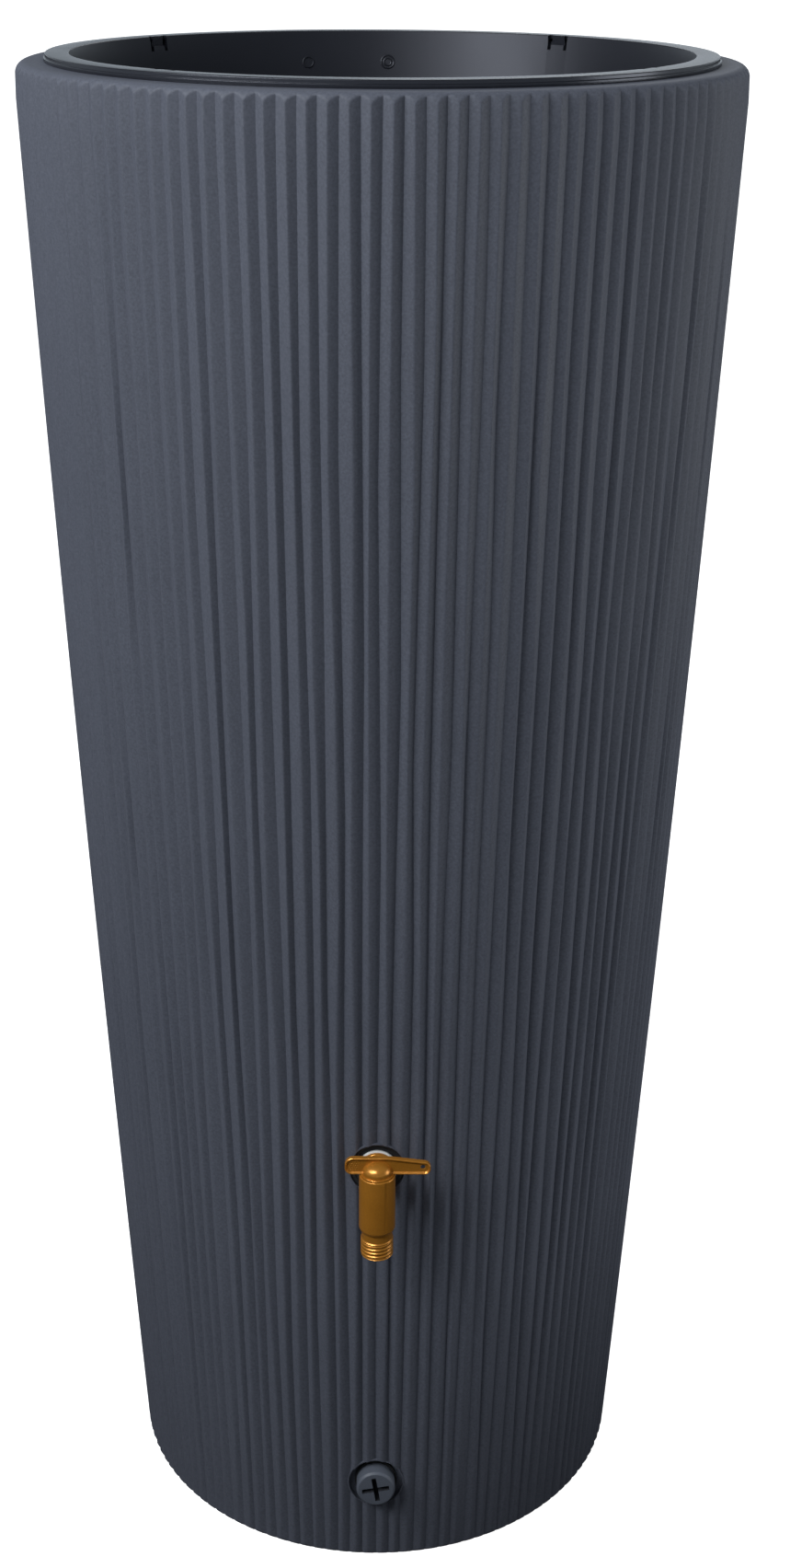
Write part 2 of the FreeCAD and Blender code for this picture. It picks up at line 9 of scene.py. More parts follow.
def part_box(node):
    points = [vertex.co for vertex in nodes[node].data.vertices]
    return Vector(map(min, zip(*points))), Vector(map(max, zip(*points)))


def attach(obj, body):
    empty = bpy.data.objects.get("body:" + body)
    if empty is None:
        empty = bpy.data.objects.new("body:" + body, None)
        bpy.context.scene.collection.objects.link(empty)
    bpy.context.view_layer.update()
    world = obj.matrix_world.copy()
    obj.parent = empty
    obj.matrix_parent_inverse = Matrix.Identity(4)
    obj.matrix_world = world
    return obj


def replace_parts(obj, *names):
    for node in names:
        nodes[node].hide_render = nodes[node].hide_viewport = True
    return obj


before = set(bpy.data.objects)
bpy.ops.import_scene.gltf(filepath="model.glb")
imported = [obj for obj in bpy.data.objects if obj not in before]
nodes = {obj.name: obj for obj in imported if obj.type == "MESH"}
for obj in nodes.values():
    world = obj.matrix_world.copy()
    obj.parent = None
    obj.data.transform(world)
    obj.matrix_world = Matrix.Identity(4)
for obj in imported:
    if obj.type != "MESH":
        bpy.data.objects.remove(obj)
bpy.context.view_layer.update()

# ---------------------------------------------------------------------------
# Camera
# It stands in front of the tap, a little above the rim, and looks slightly down.
# The lens is shifted down so that the tall barrel fills the frame.
# ---------------------------------------------------------------------------


def add_object(name, data):
    made = bpy.data.objects.new(name, data)
    bpy.context.scene.collection.objects.link(made)
    return made


camera = add_object("camera", bpy.data.cameras.new("camera"))
bpy.context.scene.camera = camera
camera.data.sensor_width = 36.0
camera.data.lens = 51.757
camera.data.shift_y = -0.2066
camera.data.clip_end = 60.0
CAMERA_DISTANCE, CAMERA_HEIGHT = 1.8861, 1.4173
CAMERA_DOWN, CAMERA_ROLL, CAMERA_YAW = 0.2522, 0.00664, 0.0065
camera.location = (0.0, -CAMERA_DISTANCE, CAMERA_HEIGHT)
aim = Matrix.Rotation(-CAMERA_YAW, 4, "Z") @ Matrix.Rotation(math.pi / 2 - CAMERA_DOWN, 4, "X")
camera.rotation_euler = (aim @ Matrix.Rotation(CAMERA_ROLL, 4, "Z")).to_euler()

# ---------------------------------------------------------------------------
# Studio
# A pale floor and a pale room, a wide soft light on the left, weak ones all round, and a small one that
# only the tap catches. A low black screen round the barrel, which the camera doesn't see, keeps light off
# its foot.
# ---------------------------------------------------------------------------

bpy.context.scene.view_settings.view_transform = "Standard"
COOL_WHITE = (0.93, 0.965, 1.0)


def mix_by_ray(tree, ray, shown, otherwise):
    """A shader that is `shown` to one kind of ray and `otherwise` to all others."""
    path = tree.nodes.new("ShaderNodeLightPath")
    mix = tree.nodes.new("ShaderNodeMixShader")
    tree.links.new(path.outputs[ray], mix.inputs[0])
    tree.links.new(otherwise.outputs[0], mix.inputs[1])
    tree.links.new(shown.outputs[0], mix.inputs[2])
    return mix


def add_floor():
    """It glows pale to the camera, but throws little light back at the barrel."""
    half, paleness_shown, paleness_lit = 60.0, 0.80, 0.05
    corners = [(-half, -half, 0), (half, -half, 0), (half, half, 0), (-half, half, 0)]
    mesh = bpy.data.meshes.new("floor")
    mesh.from_pydata(corners, [], [(0, 1, 2, 3)])
    floor = add_object("floor", mesh)
    material = bpy.data.materials.new("pale floor")
    material.use_nodes = True
    tree = material.node_tree
    tree.nodes.clear()
    out = tree.nodes.new("ShaderNodeOutputMaterial")
    shaders = []
    for paleness in (paleness_shown, paleness_lit):
        shader = tree.nodes.new("ShaderNodeBsdfDiffuse")
        shader.inputs["Color"].default_value = (paleness, paleness, paleness, 1)
        shaders.append(shader)
    glow = tree.nodes.new("ShaderNodeEmission")
    glow.inputs["Strength"].default_value = 1.0
    seen = tree.nodes.new("ShaderNodeAddShader")
    tree.links.new(shaders[0].outputs[0], seen.inputs[0])
    tree.links.new(glow.outputs[0], seen.inputs[1])
    floor_shader = mix_by_ray(tree, "Is Camera Ray", seen, shaders[1])
    tree.links.new(floor_shader.outputs[0], out.inputs["Surface"])
    mesh.materials.append(material)


def add_screen():
    """An open ring of black cloth that stands just clear of the floor."""
    radius, foot, top, sides, blackness = 0.95, 0.001, 0.30, 48, 0.02
    angles = [2 * math.pi * side / sides for side in range(sides)]
    points = [(radius * math.cos(a), radius * math.sin(a), z) for z in (foot, top) for a in angles]
    faces = [(k, (k + 1) % sides, sides + (k + 1) % sides, sides + k) for k in range(sides)]
    mesh = bpy.data.meshes.new("low_screen")
    mesh.from_pydata(points, [], faces)
    screen = add_object("low_screen", mesh)
    screen.visible_camera = False
    material = bpy.data.materials.new("black cloth")
    material.use_nodes = True
    shader = material.node_tree.nodes["Principled BSDF"]
    shader.inputs["Base Color"].default_value = (blackness, blackness, blackness, 1)
    mesh.materials.append(material)


def add_background(tree, colour, strength=1.0):
    shader = tree.nodes.new("ShaderNodeBackground")
    shader.inputs["Color"].default_value = (*colour, 1)
    shader.inputs["Strength"].default_value = strength
    return shader


def add_room():
    """White to the camera, bright low down and dim overhead in reflections, an even blue sky as light."""
    room = bpy.data.worlds.new("pale room")
    bpy.context.scene.world = room
    room.use_nodes = True
    tree = room.node_tree
    tree.nodes.clear()
    out = tree.nodes.new("ShaderNodeOutputWorld")
    white = add_background(tree, (1.0, 1.0, 1.0))
    mirrored = add_background(tree, (0.80, 0.90, 1.0))
    sky = add_background(tree, (0.90, 0.95, 1.0), 0.37)
    direction = tree.nodes.new("ShaderNodeTexCoord")
    split = tree.nodes.new("ShaderNodeSeparateXYZ")
    tree.links.new(direction.outputs["Generated"], split.inputs[0])
    horizon = tree.nodes.new("ShaderNodeMapRange")
    horizon.interpolation_type = "SMOOTHSTEP"
    for label, value in (("From Min", 0.06), ("From Max", 0.20), ("To Min", 1.0), ("To Max", 0.24)):
        horizon.inputs[label].default_value = value
    tree.links.new(split.outputs["Z"], horizon.inputs["Value"])
    tree.links.new(horizon.outputs["Result"], mirrored.inputs["Strength"])
    unseen = mix_by_ray(tree, "Is Glossy Ray", mirrored, sky)
    room_shader = mix_by_ray(tree, "Is Camera Ray", white, unseen)
    tree.links.new(room_shader.outputs[0], out.inputs["Surface"])


def add_softbox(name, place, target, wide, tall, watts):
    lamp = bpy.data.lights.new(name, "AREA")
    lamp.shape = "RECTANGLE"
    lamp.size, lamp.size_y = wide, tall
    lamp.energy = watts
    lamp.color = COOL_WHITE
    holder = add_object(name, lamp)
    holder.location = place
    holder.rotation_euler = (Vector(target) - Vector(place)).to_track_quat("-Z", "Y").to_euler()
    holder.visible_camera = False
    return holder


add_floor()
add_screen()
add_room()
add_softbox("left softbox", (-2.2, -1.6, 2.6), (0, 0, 2.0), 1.7, 1.3, 80)
add_softbox("front softbox", (-0.9, -1.9, 2.5), (0, 0, 1.5), 0.9, 0.9, 13)
add_softbox("right softbox", (2.1, -0.35, 0.85), (0, 0, 0.85), 1.0, 1.0, 16)
add_softbox("back softbox", (0.5, 2.6, 2.6), (0, 0, 0.8), 1.2, 1.2, 7)
tap_light = add_softbox("tap light", (-0.90, -1.66, 2.44), (0, -0.28, 0.42), 0.42, 0.42, 46)
tap_light.light_linking.receiver_collection = bpy.data.collections.new("lit by the tap light")

# ---------------------------------------------------------------------------
# Tank shell
# One hollow moulding in slate polyethylene: a tapered wall with a slight bulge, pressed all round into
# V-shaped flutes that wander as they fall, a rounded shoulder, a flat land and a mouth, and two round seats
# in front.
# ---------------------------------------------------------------------------

BASE_RADIUS, TOP_RADIUS, BULGE = 0.2183, 0.3004, 0.0033
FOOT_ROUND, WALL_TOP, SHOULDER = 0.004, 1.244, 0.009
LAND_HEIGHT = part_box("tank_shell")[1].z
MOUTH_RADIUS, LIP_DEPTH, LAND_THICKNESS = 0.262, 0.012, 0.0045
WALL_THICKNESS, FLOOR_THICKNESS = 0.0076, 0.005
FLUTES, FLUTE_DEPTH, SHALLOWEST_SHARE, FLUTE_SEED = 122, 0.0038, 0.84, 41
FADE_HEIGHTS, FADE_SHARES = (0.0, 0.05, 0.35), (0.50, 0.60, 1.0)
VALLEY_DRIFT, RIDGE_DRIFT, TOP_DRIFT = 0.17, 0.19, 0.03
SHORTEST_STRETCH, LONGEST_STRETCH = 0.13, 0.34
TOP_ROUNDNESS, ADDED_AT_FOOT = 0.07, 0.25


def add_piece(name, points, faces):
    mesh = bpy.data.meshes.new(name)
    mesh.from_pydata(points, [], faces)
    mesh.update()
    piece = add_object(name, mesh)
    shape = bmesh.new()
    shape.from_mesh(mesh)
    bmesh.ops.recalc_face_normals(shape, faces=shape.faces)
    shape.to_mesh(mesh)
    shape.free()
    return piece


def wall_radius(height):
    """Outside radius over the flutes' crests: a taper with a slight bulge, and upright above WALL_TOP."""
    share = np.clip((height - FOOT_ROUND) / (WALL_TOP - FOOT_ROUND), 0, 1)
    return BASE_RADIUS + (TOP_RADIUS - BASE_RADIUS) * share + BULGE * 4 * share * (1 - share)


def straight_stretches(rng, heights, count, spread):
    """Sideways drift of each line, in pitches: straight between random heights and least at the top."""
    drift = np.zeros((len(heights), count))
    for line in range(count):
        knots, values = [LAND_HEIGHT], [rng.uniform(-TOP_DRIFT, TOP_DRIFT)]
        while knots[-1] > 0:
            knots.append(knots[-1] - rng.uniform(SHORTEST_STRETCH, LONGEST_STRETCH))
            values.append(rng.uniform(-spread, spread))
        drift[:, line] = np.interp(heights, knots[::-1], values[::-1])
    return drift


def fluted_rows():
    """Rings of the outside, from the floor to the land, each an array of (angle, radius, height)."""
    foot_rings, wall_rings, shoulder_rings = 5, 64, 27
    foot = [
        (BASE_RADIUS - FOOT_ROUND * (1 - math.sin(a)), FOOT_ROUND * (1 - math.cos(a)))
        for a in np.linspace(0, math.pi / 2, foot_rings)
    ]
    wall = [(float(wall_radius(z)), float(z)) for z in np.linspace(FOOT_ROUND, WALL_TOP, wall_rings)[1:]]
    turn = LAND_HEIGHT - SHOULDER
    shoulder = [
        (TOP_RADIUS - SHOULDER * (1 - math.cos(a)), turn + SHOULDER * math.sin(a))
        for a in np.linspace(0, math.pi / 2, shoulder_rings)
    ]
    profile = foot + wall + shoulder
    heights = np.array([z for _, z in profile])

    rng = np.random.default_rng(FLUTE_SEED)
    valley = np.arange(FLUTES) + straight_stretches(rng, heights, FLUTES, VALLEY_DRIFT)
    ridge = np.arange(FLUTES) + 0.5 + straight_stretches(rng, heights, FLUTES, RIDGE_DRIFT)
    depth = FLUTE_DEPTH * rng.uniform(SHALLOWEST_SHARE, 1.0, FLUTES)
    fading = np.interp(heights, FADE_HEIGHTS, FADE_SHARES)
    next_valley = np.roll(valley, -1, axis=1)
    next_valley[:, -1] += FLUTES
    next_depth = np.roll(depth, -1)

    flanks = (("rising", (0.0, 0.4, 0.68, 0.84, 0.94)), ("falling", (0.0, 0.06, 0.16, 0.32, 0.6)))
    rows = []
    for index, (crest, height) in enumerate(profile):
        roundness = TOP_ROUNDNESS + ADDED_AT_FOOT * (1 - height / LAND_HEIGHT)
        angles, radii = [], []
        for side, shares in flanks:
            for share in shares:
                if side == "rising":
                    where = valley[index] + (ridge[index] - valley[index]) * share
                    away, deep = 1 - share, depth
                else:
                    where = ridge[index] + (next_valley[index] - ridge[index]) * share
                    away, deep = share, next_depth
                fall = (math.hypot(away, roundness) - roundness) / (math.hypot(1, roundness) - roundness)
                angles.append(where * 2 * math.pi / FLUTES)
                radii.append(np.minimum(crest, wall_radius(height) - deep * fall * fading[index]))
        ring = np.zeros((FLUTES * len(angles), 3))
        ring[:, 0] = np.stack(angles, 1).ravel()
        ring[:, 1] = np.stack(radii, 1).ravel()
        ring[:, 2] = height
        rows.append(ring)
    return rows


def build_tank_shell():
    rows = fluted_rows()
    around = rows[-1][:, 0]
    lip_round, inside_rings = 0.001, 12
    inside = [
        (MOUTH_RADIUS + lip_round, LAND_HEIGHT),
        (MOUTH_RADIUS, LAND_HEIGHT - lip_round),
        (MOUTH_RADIUS, LAND_HEIGHT - LIP_DEPTH),
        (MOUTH_RADIUS + LAND_THICKNESS, LAND_HEIGHT - LIP_DEPTH),
        (MOUTH_RADIUS + LAND_THICKNESS, LAND_HEIGHT - LAND_THICKNESS),
        (TOP_RADIUS - SHOULDER, LAND_HEIGHT - LAND_THICKNESS),
    ]
    for z in np.linspace(WALL_TOP, FLOOR_THICKNESS, inside_rings):
        inside.append((float(wall_radius(z)) - WALL_THICKNESS, float(z)))
    for radius, height in inside:
        rows.append(np.stack([around, np.full_like(around, radius), np.full_like(around, height)], 1))

    columns = len(around)
    points = []
    for ring in rows:
        x, y = ring[:, 1] * np.sin(ring[:, 0]), -ring[:, 1] * np.cos(ring[:, 0])
        points += list(zip(x.tolist(), y.tolist(), ring[:, 2].tolist()))
    faces = []
    for row in range(len(rows) - 1):
        start, above = row * columns, (row + 1) * columns
        for column in range(columns):
            after = (column + 1) % columns
            faces.append((start + column, start + after, above + after, above + column))
    last = (len(rows) - 1) * columns
    under, floor = len(points), len(points) + 1
    points += [(0.0, 0.0, 0.0), (0.0, 0.0, FLOOR_THICKNESS)]
    for column in range(columns):
        after = (column + 1) % columns
        faces.append((under, after, column))
        faces.append((floor, last + column, last + after))
    return add_piece("fluted_tank", points, faces)


def combine(piece, other, operation):
    """Cut other out of piece, or join it on, and keep only the result."""
    step = piece.modifiers.new("step", "BOOLEAN")
    step.operation = operation
    step.object = other
    step.solver = "EXACT"
    depsgraph = bpy.context.evaluated_depsgraph_get()
    made = bpy.data.meshes.new_from_object(piece.evaluated_get(depsgraph))
    piece.modifiers.clear()
    made.name = piece.name
    piece.data = made
    bpy.data.objects.remove(other)


def smooth(piece, degrees=30):
    """Smooth shading, with a crease wherever two faces meet more sharply than that."""
    piece.data.shade_smooth()
    piece.data.set_sharp_from_angle(angle=math.radians(degrees))
    return piece


def rounded(corners, steps=4, closed=False):
    """The outline through corners (across, up, radius), with an arc of that radius at each corner."""
    points = []
    count = len(corners)
    for index, corner in enumerate(corners):
        here, radius = Vector(corner[:2]), corner[2] if len(corner) > 2 else 0.0
        if radius == 0 or (not closed and index in (0, count - 1)):
            points.append(tuple(here))
            continue
        back = (Vector(corners[index - 1][:2]) - here).normalized()
        onward = (Vector(corners[(index + 1) % count][:2]) - here).normalized()
        half = back.angle(onward) / 2
        centre = here + (back + onward).normalized() * (radius / math.sin(half))
        start = here + back * (radius / math.tan(half)) - centre
        turn = math.pi - 2 * half
        if back.x * onward.y - back.y * onward.x > 0:
            turn = -turn
        for step in range(steps + 1):
            spoke = Matrix.Rotation(turn * step / steps, 2) @ start
            points.append(tuple(centre + spoke))
    return points


ON_AXIS = 1e-7


def turned(name, outline, steps, place, shape_radius=None):
    """A solid of revolution about Z, moved by place. The outline is (radius, height) points, closed on
    itself or on the axis. shape_radius(radius, height, angle) may give another radius, as for a thread."""
    points, rings, faces = [], [], []
    for radius, height in outline:
        if radius < ON_AXIS:
            rings.append([len(points)] * steps)
            points.append(place @ Vector((0, 0, height)))
            continue
        rings.append(list(range(len(points), len(points) + steps)))
        for step in range(steps):
            angle = 2 * math.pi * step / steps
            reach = shape_radius(radius, height, angle) if shape_radius else radius
            points.append(place @ Vector((reach * math.cos(angle), reach * math.sin(angle), height)))
    closed_on_axis = outline[0][0] < ON_AXIS and outline[-1][0] < ON_AXIS
    for index in range(len(rings) - 1 if closed_on_axis else len(rings)):
        low, high = rings[index], rings[(index + 1) % len(rings)]
        for step in range(steps):
            after = (step + 1) % steps
            corners = [low[step], low[after], high[after], high[step]]
            face = [c for k, c in enumerate(corners) if c not in corners[:k]]
            if len(face) > 2:
                faces.append(face)
    return add_piece(name, points, faces)


def facing(out, height):
    """Place for a piece that points out of the front wall: its Z runs along -Y, from out metres in front of
    the tank's axis."""
    return Matrix.Translation((0, -out, height)) @ Matrix.Rotation(math.pi / 2, 4, "X")


TAP_HEIGHT, TAP_SEAT, TAP_SEAT_RADIUS, TAP_HOLE = 0.396, 0.2406, 0.0230, 0.0136
TAP_BOSS_RADIUS, TAP_BOSS_DEPTH = 0.028, 0.005
DRAIN_HEIGHT, DRAIN_SEAT, DRAIN_SEAT_RADIUS, DRAIN_HOLE = 0.078, 0.2162, 0.0232, 0.0170
DRAIN_BOSS_RADIUS, DRAIN_BOSS_DEPTH = 0.025, 0.0192
COLLAR_WIDTH, COLLAR_BELOW_CREST, COLLAR_SUNK, COLLAR_OVERLAP = 0.0014, 0.0006, 0.002, 0.0004
ROUND_STEPS = 96


def boss(name, seat, radius, depth, height):
    """A thick round pad behind a seat, from inside the wall to the seat's face."""
    back = seat - depth
    outline = rounded([(0, 0), (radius, 0, 0.001), (radius, seat - back), (0, seat - back)])
    return turned(name, outline, ROUND_STEPS, facing(back, height))


def seat_cutter(seat, radius, hole, height):
    """The round seat in the outside, with the fitting's hole through its plate."""
    deep, proud = 0.03, 0.03
    outline = [(0, -deep), (hole, -deep), (hole, 0), (radius, 0), (radius, proud), (0, proud)]
    return turned("seat_cutter", outline, ROUND_STEPS, facing(seat, height))


def collar(name, seat, radius, height):
    """A narrow smooth rim round a seat, just under the crests, so that the flutes die into it."""
    steps, back, inner = ROUND_STEPS, seat - COLLAR_SUNK, radius - COLLAR_OVERLAP
    outer = inner + COLLAR_WIDTH
    points, faces = [], []
    for step in range(steps):
        across, up = math.sin(2 * math.pi * step / steps), math.cos(2 * math.pi * step / steps)
        for reach, front in ((inner, False), (inner, True), (outer, True), (outer, False)):
            level = wall_radius(height + reach * up) - COLLAR_BELOW_CREST
            out = math.sqrt(level ** 2 - (reach * across) ** 2) if front else back
            points.append((reach * across, -out, height + reach * up))
    for step in range(steps):
        here, after = 4 * step, 4 * ((step + 1) % steps)
        for corner in range(4):
            nxt = (corner + 1) % 4
            faces.append((here + corner, here + nxt, after + nxt, after + corner))
    return add_piece(name, points, faces)


tank = build_tank_shell()
combine(tank, collar("tap_collar", TAP_SEAT, TAP_SEAT_RADIUS, TAP_HEIGHT), "UNION")
combine(tank, collar("drain_collar", DRAIN_SEAT, DRAIN_SEAT_RADIUS, DRAIN_HEIGHT), "UNION")
combine(tank, boss("tap_boss", TAP_SEAT, TAP_BOSS_RADIUS, TAP_BOSS_DEPTH, TAP_HEIGHT), "UNION")
combine(tank, boss("drain_boss", DRAIN_SEAT, DRAIN_BOSS_RADIUS, DRAIN_BOSS_DEPTH, DRAIN_HEIGHT), "UNION")
combine(tank, seat_cutter(TAP_SEAT, TAP_SEAT_RADIUS, TAP_HOLE, TAP_HEIGHT), "DIFFERENCE")
combine(tank, seat_cutter(DRAIN_SEAT, DRAIN_SEAT_RADIUS, DRAIN_HOLE, DRAIN_HEIGHT), "DIFFERENCE")
smooth(tank)


def new_group(name, inputs, outputs):
    """A shader node group; inputs are (name, kind, default) and outputs (name, kind)."""
    tree = bpy.data.node_groups.new(name, "ShaderNodeTree")
    for label, kind, default in inputs:
        socket = tree.interface.new_socket(label, in_out="INPUT", socket_type=f"NodeSocket{kind}")
        socket.default_value = default
    for label, kind in outputs:
        tree.interface.new_socket(label, in_out="OUTPUT", socket_type=f"NodeSocket{kind}")
    return tree, tree.nodes.new("NodeGroupInput"), tree.nodes.new("NodeGroupOutput")


def add_noise(tree, scale, detail, roughness=0.5):
    """A noise texture on the object's own coordinates; scale is a number or a socket."""
    place = tree.nodes.new("ShaderNodeTexCoord")
    noise = tree.nodes.new("ShaderNodeTexNoise")
    noise.inputs["Detail"].default_value = detail
    noise.inputs["Roughness"].default_value = roughness
    tree.links.new(place.outputs["Object"], noise.inputs["Vector"])
    if isinstance(scale, bpy.types.NodeSocket):
        tree.links.new(scale, noise.inputs["Scale"])
    else:
        noise.inputs["Scale"].default_value = scale
    return noise


# A Mix node's sockets share their names, so they are picked by place.
MIX_VALUE_A, MIX_VALUE_B, MIX_VALUE_OUT = 2, 3, 0
MIX_COLOUR_A, MIX_COLOUR_B, MIX_COLOUR_OUT = 6, 7, 2


def make_grain_group():
    """Fine spark-eroded mould grain: the height of two layers of noise."""
    tree, source, result = new_group(
        "mould grain", [("Scale", "Float", 900.0), ("Coarse", "Float", 0.4)], [("Height", "Float")]
    )
    fine = add_noise(tree, source.outputs["Scale"], 2.0, 0.6)
    broad = add_noise(tree, 180.0, 2.0)
    mix = tree.nodes.new("ShaderNodeMix")
    tree.links.new(source.outputs["Coarse"], mix.inputs["Factor"])
    tree.links.new(fine.outputs["Fac"], mix.inputs[MIX_VALUE_A])
    tree.links.new(broad.outputs["Fac"], mix.inputs[MIX_VALUE_B])
    tree.links.new(mix.outputs[MIX_VALUE_OUT], result.inputs["Height"])
    return tree


def make_cloud_group():
    """Uneven colour: the base colour, cloudy towards a second one, with a fine speckle."""
    tree, source, result = new_group(
        "cloudy colour",
        [
            ("Colour", "Color", (0.1, 0.1, 0.1, 1)),
            ("Cloud Colour", "Color", (0.12, 0.12, 0.12, 1)),
            ("Cloud Scale", "Float", 6.0),
            ("Speckle", "Float", 0.1),
            ("Speckle Scale", "Float", 1400.0),
        ],
        [("Colour", "Color"), ("Cloud", "Float")],
    )
    cloud = add_noise(tree, source.outputs["Cloud Scale"], 4.0, 0.6)
    speckle = add_noise(tree, source.outputs["Speckle Scale"], 1.0)
    mix = tree.nodes.new("ShaderNodeMix")
    mix.data_type = "RGBA"
    tree.links.new(cloud.outputs["Fac"], mix.inputs["Factor"])
    tree.links.new(source.outputs["Colour"], mix.inputs[MIX_COLOUR_A])
    tree.links.new(source.outputs["Cloud Colour"], mix.inputs[MIX_COLOUR_B])
    centred = tree.nodes.new("ShaderNodeMath")
    centred.operation = "SUBTRACT"
    centred.inputs[1].default_value = 0.5
    tree.links.new(speckle.outputs["Fac"], centred.inputs[0])
    scaled = tree.nodes.new("ShaderNodeMath")
    scaled.operation = "MULTIPLY_ADD"
    scaled.inputs[2].default_value = 1.0
    tree.links.new(centred.outputs[0], scaled.inputs[0])
    tree.links.new(source.outputs["Speckle"], scaled.inputs[1])
    tint = tree.nodes.new("ShaderNodeVectorMath")
    tint.operation = "SCALE"
    tree.links.new(mix.outputs[MIX_COLOUR_OUT], tint.inputs[0])
    tree.links.new(scaled.outputs[0], tint.inputs["Scale"])
    tree.links.new(tint.outputs[0], result.inputs["Colour"])
    tree.links.new(cloud.outputs["Fac"], result.inputs["Cloud"])
    return tree


mould_grain = make_grain_group()
cloudy_colour = make_cloud_group()


def use_group(tree, group, **values):
    node = tree.nodes.new("ShaderNodeGroup")
    node.node_tree = group
    for name, value in values.items():
        node.inputs[name.replace("_", " ")].default_value = value
    return node


def moulded(name, colour, cloud_colour, roughness, grain_depth, **look):
    """A material for a moulded or turned surface: cloudy colour, uneven roughness and a fine grain."""
    material = bpy.data.materials.new(name)
    material.use_nodes = True
    tree = material.node_tree
    shader = tree.nodes["Principled BSDF"]
    shader.inputs["Metallic"].default_value = look.get("metallic", 0.0)
    shader.inputs["Specular IOR Level"].default_value = look.get("specular", 0.5)
    shader.inputs["Specular Tint"].default_value = (*look.get("sheen", (1.0, 1.0, 1.0)), 1)
    tint = use_group(
        tree, cloudy_colour, Colour=(*colour, 1), Cloud_Colour=(*cloud_colour, 1),
        Cloud_Scale=look.get("cloud_scale", 6.0), Speckle=look.get("speckle", 0.1),
        Speckle_Scale=look.get("speckle_scale", 1400.0),
    )
    tree.links.new(tint.outputs["Colour"], shader.inputs["Base Color"])
    rough = tree.nodes.new("ShaderNodeMapRange")
    rough.inputs["To Min"].default_value = roughness[0]
    rough.inputs["To Max"].default_value = roughness[1]
    tree.links.new(tint.outputs["Cloud"], rough.inputs["Value"])
    tree.links.new(rough.outputs["Result"], shader.inputs["Roughness"])
    grain = use_group(
        tree, mould_grain, Scale=look.get("grain_scale", 900.0), Coarse=look.get("coarse", 0.4)
    )
    bump = tree.nodes.new("ShaderNodeBump")
    bump.inputs["Strength"].default_value = look.get("grain_strength", 0.5)
    bump.inputs["Distance"].default_value = grain_depth
    tree.links.new(grain.outputs["Height"], bump.inputs["Height"])
    tree.links.new(bump.outputs["Normal"], shader.inputs["Normal"])
    return material


def dress(piece, material, body):
    """Give a new piece its material and the body it moves with."""
    piece.data.materials.clear()
    piece.data.materials.append(material)
    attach(piece, body)
    return piece


def finish_node(name, material):
    """Give a CAD node that stays its own finish."""
    for entry in nodes[name].material_slots:
        entry.material = material


slate_plastic = moulded(
    "slate polyethylene", (0.082, 0.0885, 0.112), (0.093, 0.1005, 0.127), (0.54, 0.66), 0.0002,
    speckle=0.6, speckle_scale=520.0, cloud_scale=5.0, specular=0.33,
)
dress(tank, slate_plastic, "tank")
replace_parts(tank, "tank_shell")

# ---------------------------------------------------------------------------
# Planter bowl
# A thin black moulding that hangs in the mouth by its flange: a flat land over a short skirt with a small
# ledge, a tapered inside, four springy tongues between slots, two round moulding marks and weep holes in
# the floor.
# ---------------------------------------------------------------------------

bowl_low, bowl_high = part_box("planter_bowl")
BOWL_TOP, BOWL_FOOT = bowl_high.z, bowl_low.z
FLANGE_RADIUS, INNER_RADIUS, BOWL_FLOOR_RADIUS = 0.2775, 0.2570, 0.2320
BOWL_THICKNESS, BOWL_FLOOR_EDGE = 0.003, BOWL_FLOOR_RADIUS - 0.002
INSIDE_DEPTH, INSIDE_FALL = BOWL_TOP - BOWL_FOOT - BOWL_THICKNESS, INNER_RADIUS - BOWL_FLOOR_EDGE
LATCH_START, LATCH_COUNT, SLOT_OFFSET, CUT_ABOVE, CUT_REACH = math.radians(51.5), 4, 0.0086, 0.01, 0.2
WEEP_HOLES, WEEP_RING, WEEP_RADIUS, WEEP_CUT = 6, 0.15, 0.004, 0.01
RIM_BAND, RIM_EDGE = 0.012, 0.0002


def build_bowl():
    top, floor = BOWL_TOP, BOWL_FOOT + BOWL_THICKNESS
    thick, ledge_drop, ledge = BOWL_THICKNESS, 0.0032, 0.0011
    corners = [
        (0, BOWL_FOOT),
        (BOWL_FLOOR_RADIUS, BOWL_FOOT, 0.018),
        (INNER_RADIUS + thick, top - thick, 0.002),
        (FLANGE_RADIUS - thick, top - thick, 0.001),
        (FLANGE_RADIUS - thick, LAND_HEIGHT),
        (FLANGE_RADIUS, LAND_HEIGHT, 0.0003),
        (FLANGE_RADIUS, top - ledge_drop, 0.0005),
        (FLANGE_RADIUS - ledge, top - ledge_drop, 0.0003),
        (FLANGE_RADIUS - ledge, top, 0.0008),
        (INNER_RADIUS, top, 0.0012),
        (BOWL_FLOOR_EDGE, floor, 0.015),
        (0, floor),
    ]
    return turned("planter_bowl_skin", rounded(corners, steps=6), 360, Matrix.Identity(4))


def box_cutter(low, high, place):
    corners = [(x, y, z) for z in (low[2], high[2]) for y in (low[1], high[1]) for x in (low[0], high[0])]
    faces = [(0, 1, 3, 2), (4, 6, 7, 5), (0, 4, 5, 1), (2, 3, 7, 6), (0, 2, 6, 4), (1, 5, 7, 3)]
    return add_piece("cutter", [place @ Vector(c) for c in corners], faces)


def latch_cuts():
    """A latch's shallow recess and the two steps of each slot beside it, as (middle, half width, depth into
    the wall, start, end), with start and end measured down from the bowl's top."""
    cuts = [(0.0, 0.0072, 0.0008, -CUT_ABOVE, 0.0085)]
    for middle in (-SLOT_OFFSET, SLOT_OFFSET):
        cuts.append((middle, 0.0022, 0.0032, -CUT_ABOVE, 0.0038))
        cuts.append((middle, 0.0017, 0.0070, 0.0037, 0.0130))
    return cuts


